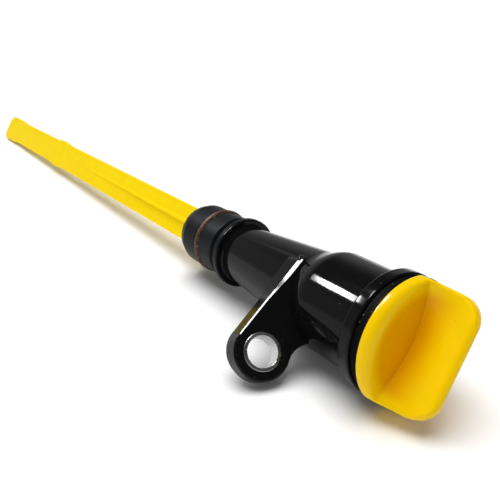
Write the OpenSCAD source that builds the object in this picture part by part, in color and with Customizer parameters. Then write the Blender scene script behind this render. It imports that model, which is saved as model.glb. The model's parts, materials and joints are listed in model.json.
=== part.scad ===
// Engine oil dipstick with its filler neck, lying as it comes to rest.
// A black moulded neck carries a tilted fixing ear; a yellow twist cap with a
// grip fin closes it and holds the flat measuring blade that hangs inside.
// All sizes are in millimetres. The neck is modelled upright on its own axis,
// with zero at the face of its collar, and is then laid down on the surface.

/* [Filler neck] */
// Bore of the mouth
mouth_d = 25; // [24:0.1:28]
// Width of the rim's face round the mouth
rim_face = 4.5; // [3.5:0.1:6]
// Height of the rim flange
rim_h = 3.8; // [3:0.1:5]
// Wall of the barrel below the rim
barrel_wall = 2.3; // [1.8:0.1:3]
// Height of the barrel, from the shoulder to the rim
barrel_h = 18.4; // [16:0.2:26]
// Length of the tapered tube above the collar
tube_h = 35.5; // [30:0.5:42]
// Outer diameter of the tapered tube at the collar
tube_low_d = 18.5; // [18:0.1:20]
// Outer diameter of the tapered tube at the shoulder
tube_high_d = 24.6; // [23:0.1:26]
// Length of the shoulder between the tube and the barrel
shoulder_h = 9.3; // [6:0.1:12]
// Wall of the tapered tube
tube_wall = 2.2; // [1.8:0.1:2.6]

/* [Spigot and collar] */
// How far the collar stands out from the lands, to seat on the engine
collar_out = 1.2; // [0.6:0.1:2.4]
// Thickness of the collar
collar_t = 2.4; // [2:0.1:4]
// Diameter of the two lands of the spigot
land_d = 20.8; // [20.4:0.1:22]
// Length of the spigot beyond the collar
spigot_len = 23.6; // [21:0.1:30]
// How far the lead-in at the nose narrows on each side
nose_in = 1.2; // [0.8:0.1:1.6]
// Length of the lead-in
nose_lead = 3.4; // [2:0.1:5]
// Width of the relief groove behind the collar
relief_w = 2.6; // [2:0.1:4]
// Wall of the spigot at its lands
spigot_wall = 3.4; // [3.3:0.1:4]

/* [Spigot O-ring] */
// Section of the O-ring
ring_section = 2.5; // [2.3:0.05:2.7]
// How far the O-ring stands proud of the lands
ring_proud = 0.55; // [0.4:0.05:0.9]
// Distance of the O-ring from the collar
ring_pos = 11.8; // [9:0.1:14]

/* [Fixing ear] */
// Distance of the bolt hole from the neck's axis
ear_reach = 26.8; // [26:0.1:32]
// Height of the bolt hole above the collar
ear_height = 42.6; // [40:0.1:48]
// Tilt of the ear to the neck
ear_tilt = 37; // [30:1:42]
// Thickness of the ear
ear_t = 5.4; // [4.5:0.1:7]
// Width of plastic round the bush
lobe_wall = 2.65; // [2.2:0.05:4]
// Angle at which the ear's lower edge widens towards the neck
ear_flare = 16; // [12:1:22]
// Radius of the hollow in the ear's upper edge
ear_hollow_r = 7; // [6:0.1:8]

/* [Mounting bush] */
// Bore of the steel bush, for an M8 bolt
bush_bore = 8.5; // [8.2:0.1:9]
// Wall of the steel bush
bush_wall = 1; // [0.8:0.1:1.3]
// How far the bush stands proud of each face of the ear
bush_proud = 0.2; // [0.1:0.05:0.5]

/* [Twist cap] */
// How far the cap overhangs the rim
cap_over = 0.8; // [0.5:0.1:2]
// Height of the cap's edge under the grip
cap_edge_h = 3; // [2.4:0.1:4]
// Radius of the cap's shoulder
cap_round = 1.9; // [1:0.1:2]
// Height of the grip fin above the cap's face
fin_h = 13.2; // [12:0.1:18]
// How far the cap is cut flat at the fin's two ends
fin_inset = 1.3; // [1:0.1:2.2]
// Radius of the fin's outer corners
fin_corner = 7; // [4:0.1:9]
// Thickness of the fin at its outer edge
fin_tip_t = 3.4; // [2.8:0.1:4]
// Thickness of the fin's two feet at the cap's edge
fin_foot_t = 13.4; // [9:0.1:13.6]
// Angle of the fin to the fixing ear
fin_angle = 41; // [0:1:90]
// How far the skirt in the mouth runs below its lugs
skirt_end = 0.8; // [0.5:0.1:3]
// Wall of the skirt
skirt_wall = 1.8; // [1.5:0.1:2.2]

/* [Bayonet] */
// How far the neck's lugs stand in from the mouth
lug_in = 1.6; // [1.4:0.1:1.8]
// Height of each lug
lug_h = 3; // [2.5:0.1:3.4]
// Arc of each of the cap's lugs
cap_lug_arc = 56; // [40:1:64]
// Arc of each of the neck's lugs
neck_lug_arc = 80; // [70:1:90]
// Depth of the neck's lugs below the rim
lug_depth = 6; // [5.6:0.1:6.4]
// Running gap between the cap and the neck
run_gap = 0.2; // [0.15:0.05:0.3]

/* [Cap seal] */
// Height of the rubber ring between the rim and the cap
seal_h = 3.7; // [3:0.1:5]
// How far the seal's lip stands in from the cap's edge
seal_inset = 0.9; // [0.5:0.1:1.6]
// Depth of the groove round the seal
seal_groove = 0.9; // [0.5:0.1:1.4]

/* [Measuring blade] */
// Length of the blade beyond the neck's nose
blade_reach = 215; // [120:1:320]
// Clearance of the blade in the spigot, on each side
blade_gap = 0.7; // [0.6:0.1:1.4]
// How much narrower the blade is at its tip than at the nose
blade_taper = 0.9; // [0.6:0.1:2]
// Thickness of the blade
blade_t = 2.6; // [2:0.1:3]
// How far the widened tip stands out from the blade on each edge
tip_out = 0.65; // [0.4:0.05:0.7]
// Length of the widened tip, below the lower mark
tip_len = 22; // [16:0.5:30]
// Distance between the lower and the upper mark
mark_span = 50; // [24:1:60]
// Length of the bump at the upper mark
bump_len = 15; // [8:0.5:18]
// How far the bump stands out on each edge
bump_out = 0.7; // [0.4:0.1:0.9]
// Height of the stiffening ribs under the cap
rib_h = 2.6; // [1.5:0.1:3]
// Width of the stiffening ribs under the cap
rib_w = 4.6; // [3.5:0.1:5.5]
// Diameter of the blade's swivel head
head_d = 9.4; // [8.8:0.1:9.6]
// Diameter of the stem under the head
stem_d = 7.2; // [6.6:0.1:7.4]

/* [Hidden] */
$fn = 96;
tiny = 0.01;

// Widths that follow from the bores, walls and clearances
rim_d = mouth_d + 2 * rim_face;
barrel_d = mouth_d + 2 * barrel_wall;
cap_d = rim_d + 2 * cap_over;
fin_w = cap_d - 2 * fin_inset;
collar_d = land_d + 2 * collar_out;
nose_d = land_d - 2 * nose_in;
spigot_bore = land_d - 2 * spigot_wall;
blade_w = spigot_bore - 2 * blade_gap;
blade_low_w = blade_w - blade_taper;
tip_w = blade_low_w + 2 * tip_out;

// Heights along the neck's axis
shoulder_z = tube_h;
barrel_z = tube_h + shoulder_h;
rim_z = barrel_z + barrel_h;
mouth_z = rim_z + rim_h;
cap_z = mouth_z + seal_h;
face_z = cap_z + cap_edge_h;
fin_z = face_z + fin_h;
nose_z = -collar_t - spigot_len;
blade_end_z = nose_z - blade_reach;

// Spigot
ring_z = -collar_t - ring_pos;
ring_bite = 0.1;
ring_play = 0.4;
groove_r = land_d / 2 + ring_proud - ring_section + ring_bite;
groove_w = ring_section + ring_play;
relief_depth = 1.1;
relief_ramp = 0.8;
relief_r = land_d / 2 - relief_depth;
nose_edge = 0.8;
tube_fillet = 0.8;
edge = 0.5;
rim_fillet = 0.6;

// Bore of the neck
bore_low_r = tube_low_d / 2 - tube_wall;
bore_high_r = tube_high_d / 2 - tube_wall;
mouth_r = mouth_d / 2;
mouth_lead = 0.6;
nose_bore_lead = 1;
past = 1;

// Ear
ear_pos = [ear_reach, 0, ear_height];
ear_normal = [0, -sin(ear_tilt), cos(ear_tilt)];
bush_r = bush_bore / 2 + bush_wall;
lobe_r = bush_r + lobe_wall;
hollow_angle = 128;
lobe_bite = 0.03;

// Bayonet, skirt and hub of the cap
lug_top_z = mouth_z - lug_depth;
lug_low_z = lug_top_z - lug_h;
lug_r = mouth_r - lug_in;
lug_gap = 0.3;
stop_arc = 5;
stop_in = 1.2;
stop_play = 1;
skirt_r = lug_r - run_gap;
plug_r = mouth_r - run_gap;
plug_low_z = lug_top_z + lug_gap;
cap_lug_top_z = lug_low_z - lug_gap;
cap_lug_low_z = cap_lug_top_z - lug_h + 2 * lug_gap;
skirt_low_z = cap_lug_low_z - skirt_end;
swivel_gap = 0.2;
hub_wall = 1.6;
hub_r = head_d / 2 + swivel_gap + hub_wall;
hub_h = 8.5;
lip_h = 1.4;
lip_z = cap_z - hub_h;
head_h = 3.2;
head_edge = 1;
cap_edge = 0.4;

// Cap seal
seal_edge = 0.5;
seal_lip = 0.8;
seal_land = 0.2;

// Grip fin
fin_sink = 1.6;
fin_draft = 0.3;
fin_flush = 0.1;
fin_blend = 0.8;
fin_edge = 1.2;
fin_steps = 24;
fin_heights = [
    -fin_sink, 0, 0.1, 0.25, 0.5, 0.8, 1.8, 3, 4.4, 5.6, fin_h - 6, fin_h - 4.8, fin_h - 3.8,
    fin_h - 2.9, fin_h - 2.2, fin_h - 1.7, fin_h - 1.2, fin_h - 0.8, fin_h - 0.5, fin_h - 0.25,
    fin_h - 0.1, fin_h - 0.03
];

// Blade
lower_mark_z = blade_end_z + tip_len;
bump_z = lower_mark_z + mark_span;
rib_start = 12;
rib_low_z = bump_z + bump_len + rib_start;
rib_crest = 1.2;
stem_len = 3;
blade_top_z = lip_z - stem_len;
blade_shoulder = 3;
blade_step = 0.6;
blade_sink = 2;
tip_chamfer = 3;
bump_ramp = 0.4 * bump_len;
tip_ramp = 6;

// Place of the part at rest.
// A unit vector d is the way down, seen from the upright neck. Each reach is
// how far one piece extends along d; the part rests on the three that are equal.
function reach_disc(z, r, d) = z * d[2] + r * norm([d[0], d[1]]);
function reach_plate(d) = ear_pos * d
    + lobe_r * sqrt(max(0, 1 - pow(ear_normal * d, 2)))
    + abs(ear_normal * d) * ear_t / 2;
function fin_across(d) = abs(d[0] * cos(fin_angle) + d[1] * sin(fin_angle));
function fin_through(d) = abs(-d[0] * sin(fin_angle) + d[1] * cos(fin_angle));
function reach_tip(d) = fin_across(d) * tip_w / 2 + fin_through(d) * blade_t / 2
    + (blade_end_z + tip_chamfer) * d[2];
function reach_fin(d) = fin_across(d) * (fin_w / 2 - fin_corner) + (fin_z - fin_corner) * d[2]
    + fin_corner * norm([fin_across(d), d[2]]);
function flat_down(roll) = [cos(roll), sin(roll), 0];
function pitch_at(roll) =
    atan((cap_d / 2 - reach_tip(flat_down(roll))) / (cap_z - blade_end_z - tip_chamfer));
function down(roll) =
    let (pitch = pitch_at(roll)) [cos(pitch) * cos(roll), cos(pitch) * sin(roll), -sin(pitch)];
function ear_excess(roll) = reach_plate(down(roll)) - reach_disc(cap_z, cap_d / 2, down(roll));
function find_roll(low, high, turns) = turns == 0 ? (low + high) / 2
    : let (middle = (low + high) / 2)
      ear_excess(middle) > 0 ? find_roll(middle, high, turns - 1) : find_roll(low, middle, turns - 1);
rest_roll = find_roll(20, 120, 40);
rest_pitch = pitch_at(rest_roll);
way_down = down(rest_roll);
way_x = [sin(rest_pitch) * cos(rest_roll), sin(rest_pitch) * sin(rest_roll), cos(rest_pitch)];
way_y = [-sin(rest_roll), cos(rest_roll), 0];
rest_height = reach_disc(cap_z, cap_d / 2, way_down);
x_high = reach_fin(way_x);
x_low = -max(reach_tip(-way_x), -blade_end_z * cos(rest_pitch));
y_high = reach_disc(cap_z, cap_d / 2, way_y);
y_low = -reach_plate(-way_y);

module lay_down() {
    translate([-(x_low + x_high) / 2, -(y_low + y_high) / 2, rest_height])
        rotate([0, 90 - rest_pitch, 0])
            rotate([0, 0, -rest_roll])
                children();
}

// Points of an arc from angle a to angle b
function arc(c, r, a, b, n) = [for (i = [0:n]) c + r * [cos(a + (b - a) * i / n), sin(a + (b - a) * i / n)]];

// S-shaped step between two radii, level at both ends
function swell(r0, r1, z0, z1, n) = [for (i = [0:n])
    [r0 + (r1 - r0) * (1 - cos(180 * i / n)) / 2, z0 + (z1 - z0) * i / n]];

module neck_outside() {
    rotate_extrude()
        polygon(concat(
            [[0, nose_z], [nose_d / 2 - nose_edge, nose_z], [nose_d / 2, nose_z + nose_edge]],
            [[land_d / 2, nose_z + nose_lead]],
            [[land_d / 2, ring_z - groove_w / 2], [groove_r, ring_z - groove_w / 2]],
            [[groove_r, ring_z + groove_w / 2], [land_d / 2, ring_z + groove_w / 2]],
            [[land_d / 2, -collar_t - relief_w - relief_ramp], [relief_r, -collar_t - relief_w]],
            [[relief_r, -collar_t]],
            arc([collar_d / 2 - edge, -collar_t + edge], edge, -90, 0, 4),
            arc([collar_d / 2 - edge, -edge], edge, 0, 90, 4),
            arc([tube_low_d / 2 + tube_fillet, tube_fillet], tube_fillet, 270, 180, 4),
            swell(tube_high_d / 2, barrel_d / 2, shoulder_z, barrel_z, 12),
            arc([barrel_d / 2 + rim_fillet, rim_z - rim_fillet], rim_fillet, 180, 90, 4),
            arc([rim_d / 2 - edge, rim_z + edge], edge, -90, 0, 4),
            arc([rim_d / 2 - edge, mouth_z - edge], edge, 0, 90, 4),
            [[0, mouth_z]]));
}

module neck_inside() {
    rotate_extrude()
        polygon(concat(
            [[0, nose_z - past], [spigot_bore / 2 + nose_bore_lead, nose_z - past]],
            [[spigot_bore / 2, nose_z + nose_bore_lead - past / 2]],
            [[spigot_bore / 2, -collar_t], [bore_low_r, 0]],
            swell(bore_high_r, mouth_r, shoulder_z, barrel_z + past, 8),
            [[mouth_r, mouth_z - mouth_lead], [mouth_r + mouth_lead, mouth_z]],
            [[mouth_r + mouth_lead, mouth_z + past], [0, mouth_z + past]]));
}

// Flat shape of the ear, with zero at the bolt hole and the neck on the left
module ear_shape() {
    hollow = (lobe_r + ear_hollow_r) * [cos(hollow_angle), sin(hollow_angle)];
    tangent = (lobe_r - lobe_bite) * [sin(ear_flare), -cos(ear_flare)];
    root = -ear_reach;
    circle(r = lobe_r);
    difference() {
        polygon([
            [0, 0],
            tangent,
            [root, tangent[1] - (tangent[0] - root) * tan(ear_flare)],
            [root, hollow[1]],
            hollow
        ]);
        translate(hollow) circle(r = ear_hollow_r + lobe_bite);
    }
}

module at_ear() {
    translate(ear_pos) rotate([ear_tilt, 0, 0]) children();
}

module ear() {
    at_ear() translate([0, 0, -ear_t / 2]) linear_extrude(ear_t) ear_shape();
}

// A piece of a ring, centred on the +X side
module ring_sector(r_in, r_out, low, high, arc_deg) {
    rotate([0, 0, -arc_deg / 2])
        rotate_extrude(angle = arc_deg)
            translate([r_in, low]) square([r_out - r_in, high - low]);
}

// Two inward lugs, each with a stop that the cap's lug meets when it is locked
module neck_lugs() {
    for (side = [0, 180]) rotate([0, 0, fin_angle + side]) {
        rotate([0, 0, -90]) ring_sector(lug_r, mouth_r + tiny, lug_low_z, lug_top_z, neck_lug_arc);
        rotate([0, 0, -90 - cap_lug_arc / 2 - stop_play - stop_arc / 2])
            ring_sector(mouth_r - stop_in, mouth_r + tiny, lug_low_z - lug_h, lug_low_z, stop_arc);
    }
}

module filler_neck() {
    color([0.07, 0.07, 0.08]) {
        difference() {
            union() {
                neck_outside();
                ear();
            }
            neck_inside();
            at_ear() cylinder(r = bush_r, h = 4 * ear_t, center = true);
        }
        neck_lugs();
    }
}

module mounting_bush() {
    half = ear_t / 2 + bush_proud;
    chamfer = 0.25;
    color([0.75, 0.76, 0.78])
        at_ear() rotate_extrude()
            polygon([
                [bush_bore / 2 + chamfer, -half], [bush_r - chamfer, -half], [bush_r, chamfer - half],
                [bush_r, half - chamfer], [bush_r - chamfer, half], [bush_bore / 2 + chamfer, half],
                [bush_bore / 2, half - chamfer], [bush_bore / 2, chamfer - half]
            ]);
}

module spigot_o_ring() {
    centre_r = land_d / 2 + ring_proud - ring_section / 2;
    color([0.38, 0.2, 0.13])
        difference() {
            translate([0, 0, ring_z])
                rotate_extrude() translate([centre_r, 0]) circle(d = ring_section, $fn = 48);
            translate([0, 0, ring_z]) cylinder(r = groove_r, h = 2 * ring_section, center = true);
        }
}

// Cap without its grip: edge, face, plug, skirt and the socket for the blade
module cap_body() {
    rotate_extrude()
        polygon(concat(
            [[head_d / 2 + swivel_gap, cap_z], [hub_r, cap_z], [skirt_r - skirt_wall, cap_z]],
            [[skirt_r - skirt_wall, skirt_low_z], [skirt_r - cap_edge, skirt_low_z]],
            [[skirt_r, skirt_low_z + cap_edge], [skirt_r, plug_low_z]],
            [[plug_r, plug_low_z + cap_edge], [plug_r, cap_z]],
            [[cap_d / 2 - cap_edge, cap_z], [cap_d / 2, cap_z + cap_edge]],
            arc([cap_d / 2 - cap_round, face_z - cap_round], cap_round, 0, 90, 8),
            [[0, face_z], [0, cap_z], [head_d / 2 + swivel_gap, cap_z]]));
}

module cap_hub() {
    rotate_extrude()
        polygon([
            [stem_d / 2 + swivel_gap, lip_z], [hub_r - cap_edge, lip_z], [hub_r, lip_z + cap_edge],
            [hub_r, cap_z + tiny], [head_d / 2 + swivel_gap, cap_z + tiny],
            [head_d / 2 + swivel_gap, lip_z + lip_h], [stem_d / 2 + swivel_gap, lip_z + lip_h]
        ]);
}

// Half thickness and half width of the fin at a height h above the cap's face
function ball(x) = sqrt(max(0, 1 - x * x));
function rise(h) = max(0, min(1, h / fin_h));
function fin_blend_at(h) = h >= fin_blend ? 0 : fin_blend * (1 - ball(1 - max(0, h) / fin_blend));
function fin_crown(h) = ball(max(0, (h - fin_h + fin_tip_t / 2) / (fin_tip_t / 2)));
function fin_end(h) = fin_tip_t / 2 + (fin_foot_t - fin_tip_t) / 2 * pow(1 - rise(h), 2);
function fin_half(h) = fin_w / 2 + fin_draft * (fin_flush - rise(h))
    - fin_corner * (1 - ball(max(0, (h - fin_h + fin_corner) / fin_corner)));
function fin_side(x, h) =
    let (w = fin_half(h), m = fin_tip_t / 2, t = min(1, abs(x) / w),
         body = (m + (fin_end(h) - m) * t * t + fin_blend_at(h)) * fin_crown(h) + tiny,
         r = min(fin_edge, body - tiny / 2), from_end = abs(x) - (w - r))
    body - (from_end > 0 ? r * (1 - ball(min(1, from_end / r))) : 0);
function fin_section(h) = [
    for (side = [1, -1], i = [0:fin_steps])
        let (x = side * fin_half(h) * cos(180 * i / fin_steps)) [x, side * fin_side(x, h), face_z + h]
];

// Skin over a stack of sections that all have the same number of points
module loft(sections) {
    n = len(sections[0]);
    last = len(sections) - 1;
    points = [for (s = sections) each s];
    sides = [for (k = [0:last - 1], i = [0:n - 1]) let (j = (i + 1) % n)
        each [[k * n + i, (k + 1) * n + i, (k + 1) * n + j], [k * n + i, (k + 1) * n + j, k * n + j]]];
    foot = [for (i = [0:n - 1]) i];
    crown = [for (i = [n - 1:-1:0]) last * n + i];
    polyhedron(concat(points), concat([foot], sides, [crown]), convexity = 4);
}

module twist_cap() {
    color([0.94, 0.77, 0]) rotate([0, 0, fin_angle]) {
        intersection() {
            union() {
                cap_body();
                loft([for (h = fin_heights) fin_section(h)]);
            }
            translate([-fin_w / 2, -cap_d, skirt_low_z - past])
                cube([fin_w, 2 * cap_d, fin_z - skirt_low_z + 2 * past]);
        }
        cap_hub();
        for (side = [0, 180]) rotate([0, 0, side])
            ring_sector(skirt_r - tiny, plug_r, cap_lug_low_z, cap_lug_top_z, cap_lug_arc);
    }
}

module cap_seal() {
    r = cap_d / 2 - seal_inset;
    middle = (mouth_z + cap_z) / 2;
    color([0.05, 0.05, 0.05])
        rotate_extrude()
            polygon([
                [plug_r, mouth_z], [r - seal_lip, mouth_z], [r - seal_lip / 2, mouth_z + seal_edge],
                [r - seal_groove, middle - seal_land], [r - seal_groove, middle + seal_land],
                [r, cap_z - seal_lip], [r - seal_land, cap_z], [plug_r, cap_z]
            ]);
}

// Outline of one edge of the blade, from the top down
function blade_half(z) = let (t = (z - lower_mark_z) / (nose_z - lower_mark_z))
    (blade_low_w + (blade_w - blade_low_w) * min(1, t)) / 2;
function blade_edge() = [
    [stem_d / 2, blade_top_z],
    [blade_half(blade_top_z) - blade_step, blade_top_z - blade_shoulder / 2],
    [blade_half(blade_top_z), blade_top_z - blade_shoulder],
    [blade_half(nose_z), nose_z],
    [blade_half(bump_z + bump_len), bump_z + bump_len],
    [blade_half(bump_z + bump_len) + bump_out, bump_z + bump_len - bump_ramp],
    [blade_half(bump_z) + bump_out, bump_z + bump_ramp],
    [blade_half(bump_z), bump_z],
    [blade_half(lower_mark_z), lower_mark_z],
    [tip_w / 2, lower_mark_z - tip_ramp],
    [tip_w / 2, blade_end_z + tip_chamfer],
    [tip_w / 2 - tip_chamfer, blade_end_z]
];

module rib_profile(foot, crest, height) {
    polygon([[-foot / 2, 0], [-crest / 2, height], [crest / 2, height], [foot / 2, 0]]);
}

module blade_rib() {
    hull() {
        translate([0, 0, blade_top_z - blade_shoulder / 2]) linear_extrude(tiny)
            rib_profile(rib_w, rib_crest, rib_h + blade_t / 2);
        translate([0, 0, rib_low_z]) linear_extrude(tiny)
            rib_profile(rib_w / 2, rib_crest / 2, blade_t / 2);
    }
}

module dipstick_blade() {
    color([0.97, 0.85, 0]) rotate([0, 0, fin_angle]) {
        edge_points = blade_edge();
        count = len(edge_points);
        rotate([90, 0, 0]) linear_extrude(blade_t, center = true)
            polygon(concat(
                edge_points,
                [for (i = [count - 1:-1:0]) [-edge_points[i][0], edge_points[i][1]]]));
        for (side = [0, 180]) rotate([0, 0, side]) blade_rib();
        rotate_extrude()
            polygon([
                [0, blade_top_z - blade_sink], [stem_d / 2 - head_edge, blade_top_z - blade_sink],
                [stem_d / 2, blade_top_z],
                [stem_d / 2, lip_z + lip_h + swivel_gap], [head_d / 2, lip_z + lip_h + swivel_gap],
                [head_d / 2, lip_z + lip_h + head_h - head_edge],
                [head_d / 2 - head_edge, lip_z + lip_h + head_h],
                [0, lip_z + lip_h + head_h]
            ]);
    }
}

lay_down() filler_neck();
lay_down() mounting_bush();
lay_down() spigot_o_ring();
lay_down() twist_cap();
lay_down() cap_seal();
lay_down() dipstick_blade();
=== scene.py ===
"""Looks of an engine oil dipstick in its filler neck, lying on a pale floor.

The packed model is the fixed frame. Each visible piece is made here in mesh code, upright on
the neck's own axis, and is then set down where the frame holds that piece.
"""
import json
import math

import bmesh
import bpy
from bpy.props import FloatProperty, FloatVectorProperty, PointerProperty
from mathutils import Matrix, Vector


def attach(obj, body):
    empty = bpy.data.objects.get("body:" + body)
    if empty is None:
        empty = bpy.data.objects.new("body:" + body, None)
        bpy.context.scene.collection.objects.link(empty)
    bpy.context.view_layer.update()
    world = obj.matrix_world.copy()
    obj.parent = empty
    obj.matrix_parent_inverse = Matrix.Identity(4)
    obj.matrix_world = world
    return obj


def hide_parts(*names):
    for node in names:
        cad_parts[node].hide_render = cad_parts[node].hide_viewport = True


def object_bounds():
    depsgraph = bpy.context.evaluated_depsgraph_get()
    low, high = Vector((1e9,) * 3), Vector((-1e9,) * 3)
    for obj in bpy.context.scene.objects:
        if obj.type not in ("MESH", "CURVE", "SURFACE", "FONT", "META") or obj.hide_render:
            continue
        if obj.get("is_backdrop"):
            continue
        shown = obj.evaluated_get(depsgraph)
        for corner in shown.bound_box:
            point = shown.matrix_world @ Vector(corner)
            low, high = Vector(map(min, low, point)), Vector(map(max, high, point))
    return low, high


bl_info = {
    "name": "Engine Oil Dipstick",
    "version": (1, 0, 0),
    "blender": (4, 5, 0),
    "location": "View3D > Sidebar > Dipstick",
    "description": "Builds the visible pieces of an oil dipstick and its filler neck round the packed frame",
    "category": "Object",
}

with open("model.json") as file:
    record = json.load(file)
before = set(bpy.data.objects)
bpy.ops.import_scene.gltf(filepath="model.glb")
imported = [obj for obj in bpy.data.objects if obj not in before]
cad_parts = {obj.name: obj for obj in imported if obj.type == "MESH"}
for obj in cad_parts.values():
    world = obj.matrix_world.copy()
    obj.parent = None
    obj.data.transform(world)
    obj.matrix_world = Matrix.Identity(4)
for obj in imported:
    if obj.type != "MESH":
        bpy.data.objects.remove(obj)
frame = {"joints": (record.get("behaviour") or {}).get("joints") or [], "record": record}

# Number of steps round the axis on every turned piece
ROUND_STEPS = 192

# Length that counts as none
TINY = 1e-7

# Distance within which two vertices of the cap are one
WELD = 2e-6

# Overlap or clearance of pieces that meet
HAIR = 0.0002

# Turn between two faces from which their shared edge is shaded sharp
SHARP_ANGLE = math.radians(38)


# Places read from the frame

def record_entry(entries, name):
    return next(entry for entry in entries if entry["name"] == name)


SLIDE = record_entry(frame["joints"], "pull_out")
TURN = record_entry(frame["joints"], "cap_turn")
BOLT = record_entry(frame["record"]["mounts"], "ear_bolt_bore")
AXIS = Vector(SLIDE["axis"]).normalized()
CAP_SEAT = Vector(TURN["pos_m"])
BOLT_HOLE = Vector(BOLT["pos_m"])
EAR_FACING = Vector(BOLT["axis"]).normalized()


def side_towards(point):
    """Unit vector from the neck's axis towards a point."""
    out = point - CAP_SEAT
    return (out - AXIS * out.dot(AXIS)).normalized()


EAR_SIDE = side_towards(BOLT_HOLE)


def size(name, description, millimetres):
    """A length that a user may change, given in millimetres and kept in metres."""
    return FloatProperty(
        name=name, description=description, default=millimetres / 1000, min=0.0, precision=5, unit="LENGTH"
    )


def angle(name, description, degrees):
    return FloatProperty(name=name, description=description, default=math.radians(degrees), subtype="ANGLE")


def power(name, description, value):
    return FloatProperty(name=name, description=description, default=value, min=0.0)


def colour(name, description, red, green, blue):
    return FloatVectorProperty(
        name=name, description=description, default=(red, green, blue), size=3, min=0.0, max=1.0, subtype="COLOR"
    )


# Sizes and colours that a user would change

class NeckSizes(bpy.types.PropertyGroup):
    """Sizes of the black filler neck."""

    cap_seat: size("Cap seat", "Height of the cap's underside above the collar's face", 70.7)
    nose: size("Nose", "Depth of the nose below the collar's face", 26.0)
    collar_t: size("Collar", "Thickness of the collar", 2.4)
    collar_d: size("Collar width", "Diameter of the collar", 23.2)
    land_d: size("Land width", "Diameter of the spigot's lands", 20.8)
    nose_d: size("Nose width", "Diameter of the nose's face", 18.4)
    nose_lead: size("Nose lead", "Length of the lead-in at the nose", 3.4)
    relief_w: size("Relief", "Width of the relief groove behind the collar", 2.6)
    relief_in: size("Relief depth", "Depth of the relief groove", 1.1)
    ring_pos: size("O-ring place", "Distance of the O-ring below the collar", 11.8)
    ring_section: size("O-ring section", "Section of the O-ring", 2.5)
    ring_proud: size("O-ring proud", "How far the O-ring stands out from the lands", 0.55)
    spigot_bore: size("Spigot bore", "Bore of the spigot", 14.0)
    tube_low_d: size("Tube foot", "Diameter of the tapered tube at the collar", 18.5)
    tube_high_d: size("Tube top", "Diameter of the tapered tube at the shoulder", 24.6)
    tube_wall: size("Tube wall", "Wall of the tapered tube", 2.2)
    tube_h: size("Tube", "Length of the tapered tube", 35.5)
    shoulder_h: size("Shoulder", "Length of the shoulder below the barrel", 9.3)
    barrel_d: size("Barrel", "Diameter of the barrel", 29.6)
    barrel_h: size("Barrel height", "Length of the barrel", 18.4)
    rim_d: size("Rim", "Diameter of the rim flange", 34.0)
    rim_h: size("Rim height", "Height of the rim flange", 3.8)
    mouth_d: size("Mouth", "Bore of the mouth", 25.0)
    lug_in: size("Lug", "How far the bayonet lugs stand in from the mouth", 1.6)
    lug_h: size("Lug height", "Height of each bayonet lug", 3.0)
    lug_depth: size("Lug depth", "Depth of the bayonet lugs below the mouth", 6.0)
    lug_arc: angle("Lug arc", "Arc of each bayonet lug", 80)
    stop_arc: angle("Stop arc", "Arc of each stop under a lug", 5)
    cap_lug_arc: angle("Cap lug arc", "Arc of each lug on the cap", 56)


class EarSizes(bpy.types.PropertyGroup):
    """Sizes of the fixing ear and its steel bush."""

    thick: size("Ear", "Thickness of the ear", 5.4)
    bush_bore: size("Bush bore", "Bore of the steel bush", 8.5)
    bush_wall: size("Bush wall", "Wall of the steel bush", 1.0)
    bush_proud: size("Bush proud", "How far the bush stands proud of the ear", 0.2)
    lobe_wall: size("Lobe wall", "Width of plastic round the bush", 2.65)
    hollow_r: size("Hollow", "Radius of the hollow in the upper edge", 7.0)
    hollow_at: angle("Hollow angle", "Angle of the hollow round the bush", 128)
    flare: angle("Flare", "Angle at which the lower edge widens", 16)
    edge_r: size("Ear edge", "Radius of the back's edge and width of the face's chamfer", 0.45)
    draft: size("Draft", "How much wider the ear's back is than its face along the lower edge", 0.95)


class CapSizes(bpy.types.PropertyGroup):
    """Sizes of the yellow twist cap."""

    width: size("Cap", "Diameter of the cap", 35.6)
    edge_h: size("Edge", "Height of the cap's edge under the grip", 3.0)
    shoulder_r: size("Shoulder", "Height of the cap's rounded shoulder", 2.5)
    shoulder_in: size("Shoulder reach", "How far the shoulder's rounding runs in from the edge", 3.8)
    fin_angle: angle("Fin angle", "Angle of the fin to the ear", 41)
    fin_h: size("Fin", "Height of the fin above the face", 13.2)
    flats: size("Flats", "How far the cap is cut flat at the fin's two ends", 1.3)
    flat_edge: size("Flat edge", "Rounding where a flat meets the round edge", 0.5)
    fin_corner: size("Fin corner", "Radius of the fin's outer corners", 7.0)
    fin_tip_t: size("Fin tip", "Thickness of the fin at its outer edge", 3.4)
    fin_foot_t: size("Fin foot", "Thickness of the fin's ends at the face", 13.4)
    fin_draft: size("Fin draft", "How much the fin narrows over its height", 0.3)
    fin_edge: size("Fin edge", "Radius of the fin's upright end edges", 1.2)
    foot_r: size("Foot", "Radius where the fin meets the face", 0.4)
    run_gap: size("Running gap", "Gap between the cap and the neck", 0.2)
    skirt_wall: size("Skirt wall", "Wall of the skirt", 1.8)
    skirt_end: size("Skirt end", "How far the skirt runs below its lugs", 0.8)
    lug_gap: size("Lug gap", "Gap between the cap's lugs and the neck's", 0.3)
    hub_wall: size("Hub wall", "Wall of the hub that holds the blade", 1.6)
    hub_h: size("Hub", "Height of the hub below the cap", 8.5)
    lip_h: size("Hub lip", "Height of the hub's lip", 1.4)


class SealSizes(bpy.types.PropertyGroup):
    """Sizes of the rubber ring under the cap."""

    height: size("Seal", "Height of the seal", 3.7)
    inset: size("Seal inset", "How far the seal's lip stands in from the cap", 0.9)
    groove: size("Seal groove", "Depth of the groove round the seal", 0.9)


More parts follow.
